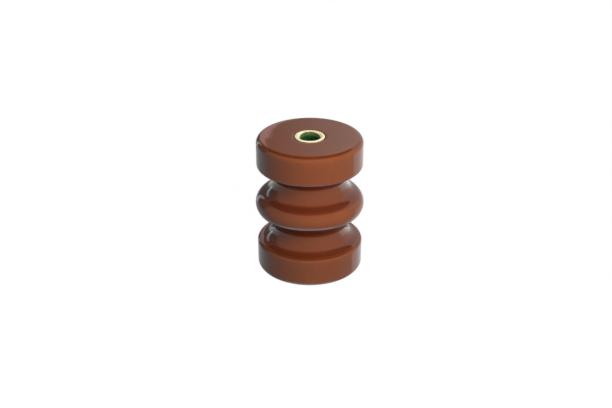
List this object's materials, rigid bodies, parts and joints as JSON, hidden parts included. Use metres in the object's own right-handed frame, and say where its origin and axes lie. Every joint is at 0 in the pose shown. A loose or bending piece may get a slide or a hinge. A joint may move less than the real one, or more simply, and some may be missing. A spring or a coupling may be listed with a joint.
{
  "type": "post insulator",
  "caption": "Squat glazed porcelain post insulator with two deep grooves round a middle bead and a blind threaded brass insert cemented into each end.",
  "frame": {"origin": "centre of the lower brass seat, where the part stands", "axes": "+Z along the axis, from the lower seat to the upper one; X and Y are free because the body is round, and +X points at a corner of the inserts' hexagonal shanks"},
  "size_m": [0.0616, 0.0616, 0.08],
  "materials": {
    "porcelain": "glossy brown glaze over electrical porcelain",
    "brass": "turned free-cutting brass, bright seat, duller greenish thread",
    "cement": "grey Portland cement grout, matt",
    "cork": "pressed cork sheet, matt",
    "sealant": "dark sealing compound, satin"
  },
  "bodies": {
    "root": {"porcelain_body": "porcelain", "upper_insert": "brass", "lower_insert": "brass", "upper_cement": "cement", "lower_cement": "cement", "upper_cushion_disc": "cork", "lower_cushion_disc": "cork", "upper_seal_ring": "sealant", "lower_seal_ring": "sealant"}
  },
  "joints": []
}
